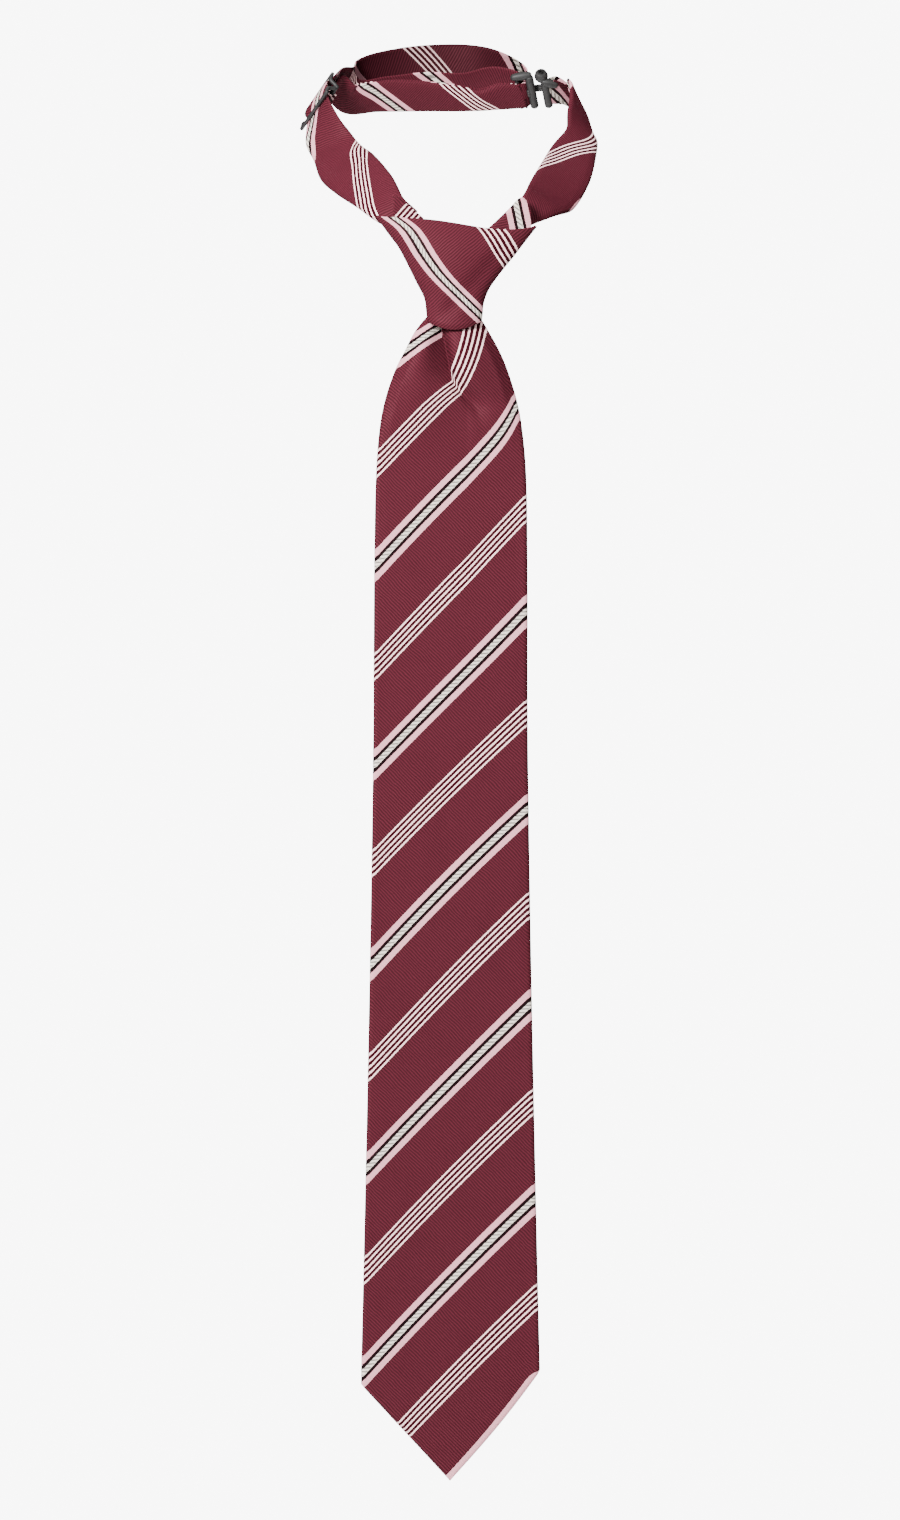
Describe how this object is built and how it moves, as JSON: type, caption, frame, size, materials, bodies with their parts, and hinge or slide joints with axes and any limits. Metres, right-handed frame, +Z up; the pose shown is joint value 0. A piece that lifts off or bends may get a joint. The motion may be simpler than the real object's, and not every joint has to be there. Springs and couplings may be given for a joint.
{
  "type": "pre-tied necktie",
  "caption": "Pre-tied striped necktie: gathered knot, pointed blade, and an adjustable neck loop with a slider and a hook-and-eye clasp.",
  "frame": {"origin": "centre of the neck loop, on the wearer's neck axis", "axes": "+Z up as worn, +Y from the blade towards the wearer's back, +X to the right as seen from the front"},
  "size_m": [0.1365, 0.1355, 0.6567],
  "materials": {
    "striped_silk": "satin ribbed weave, burgundy with light diagonal stripes",
    "interlining": "brushed wool blend",
    "tipping_lining": "smooth acetate lining",
    "sewing_thread": "twisted polyester thread",
    "label_tape": "blank woven satin tape",
    "gunmetal_hardware": "satin gunmetal"
  },
  "bodies": {
    "neckband": {"knot_wrap": "striped_silk", "blade_neck": "striped_silk", "knot_tuck_left": "striped_silk", "knot_tuck_right": "striped_silk", "knot_back_tack": "sewing_thread", "neck_strap": "striped_silk", "right_band": "striped_silk"},
    "blade": {"blade_shell": "striped_silk", "blade_interlining": "interlining", "blade_tipping": "tipping_lining", "blade_slip_stitch": "sewing_thread", "blade_bar_tack": "sewing_thread", "seam_top_tack": "sewing_thread", "keeper_loop": "striped_silk", "keeper_tack_left": "sewing_thread", "keeper_tack_right": "sewing_thread", "care_label": "label_tape"},
    "slider": {"slider": "gunmetal_hardware", "strap_end_tab": "striped_silk", "strap_end_seam": "sewing_thread"},
    "eye": {"eye": "gunmetal_hardware"},
    "hook_end": {"right_band_end": "striped_silk", "right_band_end_seam": "sewing_thread"},
    "hook": {"hook": "gunmetal_hardware"}
  },
  "joints": [
    {"name": "blade_swing", "type": "hinge", "parent": "neckband", "child": "blade", "pos_m": [0, -0.064, -0.0844], "axis": [-1, 0, 0], "range_deg": [0, 75]},
    {"name": "slider_travel", "type": "hinge", "parent": "neckband", "child": "slider", "pos_m": [-0.01234, 0.04044, 0.00332], "axis": [-0.46, 0.6683, -0.5846], "range_deg": [-22, 7]},
    {"name": "eye_tilt", "type": "hinge", "parent": "neckband", "child": "eye", "pos_m": [0.0322, 0.04761, 0.03391], "axis": [-0.1798, -0.5594, 0.8092], "range_deg": [-12, 12]},
    {"name": "hook_release", "type": "slide", "parent": "neckband", "child": "hook_end", "axis": [0, 0.8226, 0.5687], "range_m": [0, 0.01]},
    {"name": "hook_tilt", "type": "hinge", "parent": "hook_end", "child": "hook", "pos_m": [0.05022, 0.04643, 0.03562], "axis": [-0.1798, -0.5594, 0.8092], "range_deg": [-6, 6]}
  ],
  "couplings": [
    {"joint": "hook_tilt", "follows": "eye_tilt", "ratio": -0.496}
  ]
}
